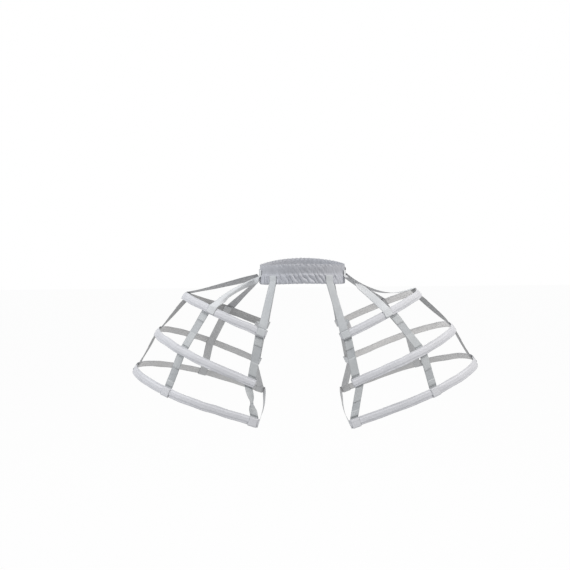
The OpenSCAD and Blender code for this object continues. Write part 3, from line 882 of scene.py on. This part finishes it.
def tape(side, place, seed, stitches):
    """Inside all three hoops, turned under the bottom one and up its face; doubled where it is sewn."""
    top, mid, bottom = (HOOPS[side, level] for level in LEVELS)
    shares = TAPE_SHARE[side].get(place, (0, 0, 0))
    s_top, s_mid, s_bottom = (along_hoop(side, level, place, share) for level, share in zip(LEVELS, shares))
    past, hem_end = CASING_W / 2 + EDGE_CLEAR, CASING_W / 2 - HEM_INSET
    half_turn = np.linspace(0, math.pi, TURN_ROWS)
    head = [seat(top, s_top, -1, z) for z in np.linspace(hem_end, -past, HEAD_ROWS)]
    waist = [seat(mid, s_mid, -1, z) for z in np.linspace(past, -past, WAIST_ROWS)]
    foot = [seat(bottom, s_bottom, -1, z) for z in np.linspace(past, TURN_END - EDGE_UP, FOOT_ROWS)]
    turn = [rolled(bottom, s_bottom, -1, -math.cos(k), -math.sin(k)) for k in half_turn]
    hem = [seat(bottom, s_bottom, 1, z) for z in np.linspace(FLAT_END - EDGE_UP, hem_end, HEM_ROWS)]
    upper, lower = between(head[-1], waist[0]), between(waist[-1], foot[0])
    parts = [head, upper, waist, lower, foot, turn, hem]
    rows = np.array(sum(parts, []))
    ends = np.cumsum([len(part) for part in parts])
    free = [(ends[0], ends[1]), (ends[2], ends[3])]
    rows = slack(rows, free, seed, TAPE_WAVE, TAPE_CURL)
    if (side, place) == TURNED_TAPE:
        k = np.linspace(0, 1, len(upper))
        rows = twisted(rows, *free[0], -TAPE_TURN * np.sin(math.pi * k) ** TURN_FULLNESS)
    elif (side, place) == TWISTED_TAPE:
        k = np.linspace(0, 1, len(lower))
        rows = twisted(rows, *free[1], TAPE_TWIST * bell(k - TWIST_AT, TWIST_OVER))
    rows = on_side(rows, len(head) // 2, top.out(s_top), side)
    shape = Shape()
    ribbon_shell(shape, rows, RIBBON_T, 0, 1, hem_row=ends[4] + len(turn) // 2, hem_slot=3)
    at, n = lengths(rows), normals(rows)
    rng = np.random.default_rng(seed)
    plies = np.array(DOUBLED) * rng.uniform(*DOUBLED_VARIES, (2, 2))
    doubled = []
    for (start, stop), (below, above) in zip(free, plies):
        doubled += [(at[start], at[start] + below), (at[stop - 1] - above, at[stop - 1])]
    for low, high in doubled:
        steps = np.linspace(low, high, max(3, round((high - low) / RIBBON_STEP)))
        layer = rows_at(rows + n * PLY_LIFT, at, steps)
        ribbon_shell(shape, layer, PLY_T, 2, 1)
        for i in (1, len(steps) - 2):
            away = normals(layer)[i, 1:-1]
            stitches.row(layer[i, 1:-1] + away * PLY_T / 2, away)
    name = f"{side}_{place}_tape"
    # Side tapes show a reverse with painted shade.
    back = SIDE_TAPE_BACK_PAINTED_SHADE if place == "side" else TAPE_BACK
    # Inside the hoops the tape shows colours with painted shade; its hem keeps the lighter tone.
    piece = shape.make(f"{name}_ribbon", [TAPE, back, TAPE_PLY, TAPE_HEM], name, "satin_ribbon")
    stitches.row(rows[-2, 1:-1] - n[-2, 1:-1] * RIBBON_T / 2, -n[-2, 1:-1])


# Waistband


def gather_phase(a, z):
    """Turns of the folds: slanting across the front, fine and upright at the wearer's right end of it."""
    finer = FINE_CLOSER * FOLDS / TURN * (np.clip(a, FINE_FROM, FINE_TO) - FINE_TO)
    slant = FOLD_SLANT * (UPRIGHT_SLANT + (1 - UPRIGHT_SLANT) * hump(a, *SLANTED))
    uneven = DRIFT * ripple(a * DRIFT_RATE, 3) + JITTER * ripple(a * JITTER_RATE, 5)
    return FOLDS * a / TURN + finer + slant * z + uneven * np.cos(a / 2) ** 2


def under_straps(a, z):
    """How far the gathers are pressed along each strap's column, and bunched up under its sewn end."""
    pressed, bunched = 0 * a, 0 * a * z
    rise = (-BUNCHED_PAST, BUNCHED_WITHIN)
    fall = (STRAP_SEWN - BUNCHED_WITHIN, STRAP_SEWN + BUNCHED_PAST)
    for side, sign in zip(SIDES, (1, -1)):
        for place in STRAPS:
            at, fold_z = strap_seat(side, place)
            off = (a - sign * at) * WAIST_W / 2
            sewn = hump(z + fold_z, rise, fall)
            pressed = np.maximum(pressed, bell(off, RIBBON_W * PRESSED_W, power=4))
            bunched = np.maximum(bunched, bell(off, RIBBON_W * BUNCHED_W, power=6) * sewn)
    return pressed, bunched


def waistband():
    """Gathered tube of cloth over the elastic, drawn in along its middle and frilled at both edges."""
    a = np.linspace(-math.pi, math.pi, BAND_COLUMNS, endpoint=False)[:, None]
    edge, body = BAND_H / 2, BAND_H / 2 - FRILL_H
    z = np.linspace(-edge, edge, BAND_ROWS)
    turns = gather_phase(a, z)
    pressed, bunched = under_straps(a, z)
    pinch = 1 - sum(bell(z - height, width) for height, width in (MIDDLE_SEAM, FRILL_SEAM)) / 2
    calm = 1 - CALM_LOSS * hump(a, *CALM)
    fine = FINE_DEEPER * hump(a, (FINE_FROM - FINE_BLEND, FINE_FROM), (FINE_TO, FINE_TO + FINE_BLEND))
    depth = FOLD_DEPTH * (UPPER_DEPTH + (1 - UPPER_DEPTH) * smooth(-z, *DEEPEN_OVER))
    depth = depth * pinch * (calm + fine) * (1 - PRESSED_LOSS * pressed)
    depth = depth * (DEPTH_MEAN + DEPTH_VARIES * ripple(np.floor(turns) * DEPTH_STEP + z / DEPTH_LONG, 6))
    ridge = 1 - np.abs(np.sin(math.pi * turns)) ** RIDGE_POWER
    crumple = CRUMPLE * ripple(a * CRUMPLE_RATE + z / CRUMPLE_LONG, 7) * pinch
    frilled, hemmed = smooth(z, body - FRILL_EARLY, edge), HEM_DRAWN * smooth(-z, edge - HEM_H, edge)
    drawn_in = np.where(z > 0, frilled, hemmed)
    thick = (POCKET + CLOTH_T) * (1 - drawn_in) + FRILL_HALF * drawn_in
    frill = FRILL_SWING * np.sin(TURN * turns) * drawn_in
    outer = frill + thick + depth * (1 - ridge) * (1 - drawn_in) + crumple
    outer += (BAND_FACE - BUNCHED_UNDER - outer) * bunched
    inner = frill - thick - INNER_DEPTH * depth * ridge * (1 - drawn_in) + crumple
    uneven = FRILL_WAVE * ripple(a * FRILL_RATE, 8) + SCALLOP * (1 - ridge) - SCALLOP_DROP
    height = z + uneven * drawn_in * np.sign(z)
    front, back = band_point(a, outer, height), band_point(a, inner, height)
    girth = (WAIST_W + WAIST_D) * math.pi / 2
    along = (a + math.pi) / TURN * girth * np.ones(2 * BAND_ROWS)
    up = np.concatenate([z, 2 * edge - z[::-1]]) * np.ones((BAND_COLUMNS, 1))
    shape = Shape()
    loops = np.concatenate([front, back[:, ::-1]], axis=1)
    shape.grid(loops, np.stack([along, up], -1) * MM, close_rows=True)
    piece = shape.make("waistband_cloth", [BAND], "waistband_casing", "band_cloth")


# Light, floor and camera, in metres


def world_light(ambient):
    """Even ambient light that shows as plain white behind the object."""
    n = Nodes(bpy.data.worlds.new("studio"))
    bpy.context.scene.world = n.owner
    path = n.add("ShaderNodeLightPath")
    seen = path.outputs["Is Camera Ray"]
    for ray in ("Is Glossy Ray", "Is Transmission Ray"):
        seen = n.math("MAXIMUM", seen, path.outputs[ray])
    inputs = {MIX_SHARE: seen, MIX_A: (*ambient, 1), MIX_B: (1, 1, 1, 1)}
    n.link(n.add("ShaderNodeMix", inputs, data_type="RGBA").outputs[MIX_OUT], "Color")


def lamp(name, place, size, watts, colour, aim=(0, 0, -0.16)):
    data = bpy.data.lights.new(name, "AREA")
    data.shape = "DISK"
    data.size = size
    data.energy = watts
    data.color = colour
    light = new_object(name, data)
    light.location = place
    light.rotation_euler = (Vector(aim) - Vector(place)).to_track_quat("-Z", "Y").to_euler()


def floor(z, reach=8, glow=0.96):
    """Pale studio floor, white to the camera but for the object's soft shadow."""
    mesh = bpy.data.meshes.new("floor")
    corners = [(-reach, -reach, z), (reach, -reach, z), (reach, reach, z), (-reach, reach, z)]
    mesh.from_pydata(corners, [], [(0, 1, 2, 3)])
    ground = new_object("floor", mesh)
    n = material_nodes("pale_floor")
    n.set(Base_Color=(0.9, 0.9, 0.9, 1), Roughness=0.9)
    white = n.add("ShaderNodeEmission", {"Color": (1, 1, 1, 1), "Strength": 1.0})
    seen = n.add("ShaderNodeLightPath").outputs["Is Camera Ray"]
    share = n.math("MULTIPLY", seen, glow)
    mix = n.add("ShaderNodeMixShader", {0: share, 1: n.shader.outputs[0], 2: white.outputs[0]})
    n.tree.links.new(mix.outputs[0], n.tree.nodes["Material Output"].inputs["Surface"])
    mesh.materials.append(n.owner)


def camera():
    """A view from the front, from a little above the waistband; the focal length is in pixels."""
    azimuth, height, distance = math.radians(-0.8), 0.1632, 1.6366
    roll, pan, tilt = math.radians(-0.6), math.radians(-1.5), math.radians(-1.107)
    focal, picture_width = 668.2, 570
    eye = Vector((distance * math.sin(azimuth), -distance * math.cos(azimuth), height))
    forward = (-eye).normalized()
    right = forward.cross(Vector((0, 0, 1))).normalized()
    forward = (forward + math.tan(pan) * right + math.tan(tilt) * right.cross(forward)).normalized()
    right = forward.cross(Vector((0, 0, 1))).normalized()
    right = math.cos(roll) * right + math.sin(roll) * right.cross(forward)
    up = right.cross(forward)
    data = bpy.data.cameras.new("camera")
    data.sensor_fit = "HORIZONTAL"
    data.sensor_width = 36
    data.lens = data.sensor_width * focal / picture_width
    view = new_object("camera", data)
    view.matrix_world = Matrix.Translation(eye) @ Matrix((right, up, -forward)).transposed().to_4x4()
    bpy.context.scene.camera = view


camera()
bpy.context.scene.view_settings.view_transform = "Standard"
world_light(ambient=(0.44, 0.445, 0.455))
lamp("left_softbox", place=(-1.9, -0.7, 1.5), size=0.8, watts=32, colour=(0.98, 0.99, 1.0))
lamp("right_softbox", place=(1.75, -0.65, 1.65), size=0.8, watts=37, colour=(1.0, 0.975, 0.945))
floor(z=-1.02)

waistband()
for side_index, side in enumerate(SIDES):
    sewing = Stitches()
    for level_index, level in enumerate(LEVELS):
        seed = SIDE_SEEDS * side_index + PIECE_SEEDS * level_index
        boning(side, level, seed + CASING_SEED)
        casing(side, level, seed + CASING_SEED, sewing)
        tie(side, level, seed + TIE_SEED)
    for place_index, place in enumerate(STRAPS):
        seed = SIDE_SEEDS * side_index + PIECE_SEEDS * place_index
        strap(side, place, seed + STRAP_SEED, sewing)
        tape(side, place, seed + TAPE_SEED, sewing)
    sewing.shape.make(f"{side}_stitches", [THREAD], slot="satin_ribbon")

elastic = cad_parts["waist_elastic"].data
elastic.materials.clear()
elastic.materials.append(elastic_webbing())
